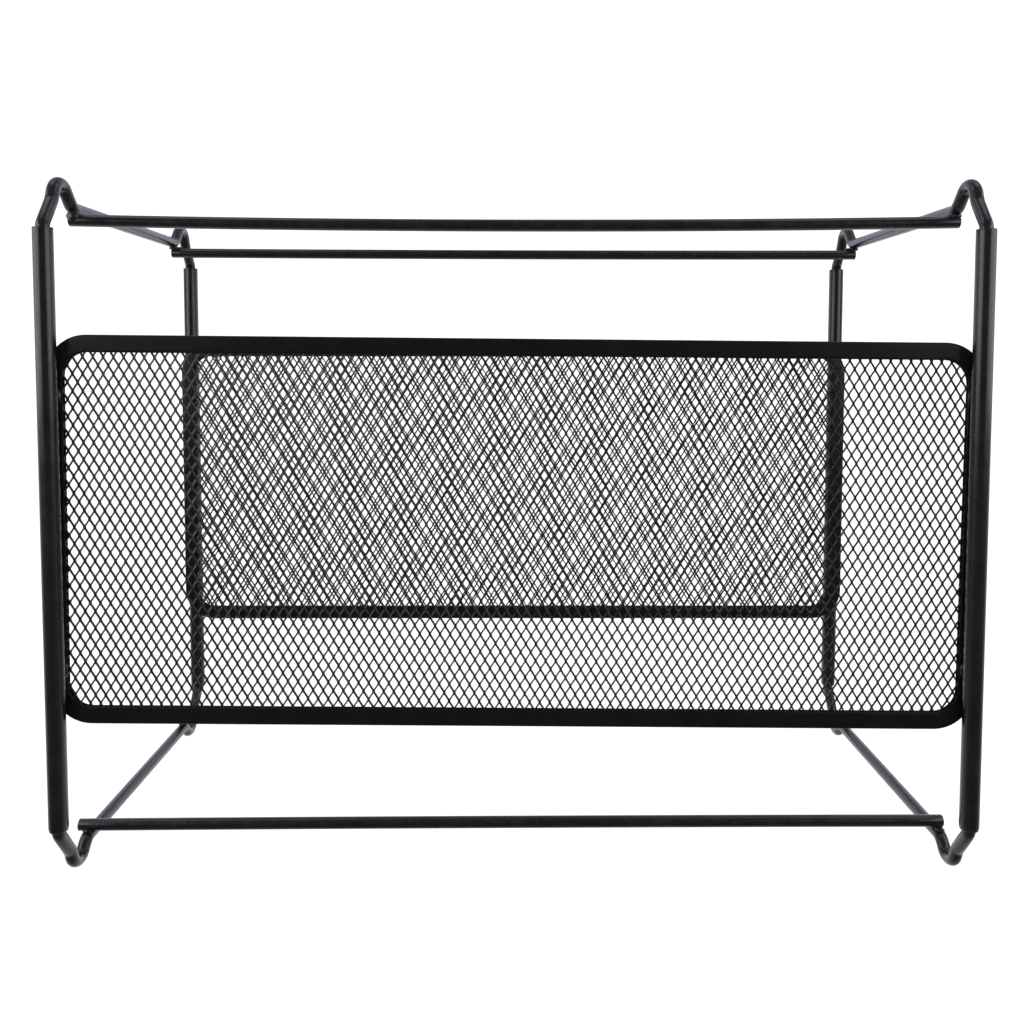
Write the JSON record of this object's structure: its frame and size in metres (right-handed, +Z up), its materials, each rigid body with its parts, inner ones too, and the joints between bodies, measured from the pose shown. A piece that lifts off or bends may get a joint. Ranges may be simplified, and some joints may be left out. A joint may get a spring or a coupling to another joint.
{
  "type": "hanging file desk organizer",
  "caption": "Open-top desk organizer for hanging folders: black wire frames plug into round corner tubes that carry expanded-metal mesh panels at front and back.",
  "frame": {"origin": "centre of the footprint on the desk surface, under the middle of the frame", "axes": "+X to the right along the long side, parallel to the mesh panels; +Y from the front panel to the rear panel, along the hanging rails; +Z up"},
  "size_m": [0.3216, 0.1586, 0.2451],
  "materials": {
    "tube_coat": "semi-gloss black powder coat on steel tube",
    "wire_coat": "semi-gloss black powder coat on steel wire",
    "band_coat": "satin black powder coat on folded steel strip",
    "mesh_coat": "satin black powder coat on expanded steel mesh"
  },
  "bodies": {
    "base_frame": {"bottom_left_rail": "wire_coat", "bottom_right_rail": "wire_coat", "bottom_front_crossbar": "wire_coat", "bottom_rear_crossbar": "wire_coat"},
    "panels": {"front_left_post": "tube_coat", "front_right_post": "tube_coat", "rear_left_post": "tube_coat", "rear_right_post": "tube_coat", "front_panel_frame": "band_coat", "front_mesh": "mesh_coat", "rear_panel_frame": "band_coat", "rear_mesh": "mesh_coat"},
    "top_frame": {"top_left_rail": "wire_coat", "top_right_rail": "wire_coat", "top_front_crossbar": "wire_coat", "top_rear_crossbar": "wire_coat"}
  },
  "joints": [
    {"name": "panels_lift", "type": "slide", "parent": "base_frame", "child": "panels", "axis": [0, 0, 1], "range_m": [0, 0.022]},
    {"name": "top_frame_lift", "type": "slide", "parent": "panels", "child": "top_frame", "axis": [0, 0, 1], "range_m": [0, 0.022]}
  ]
}
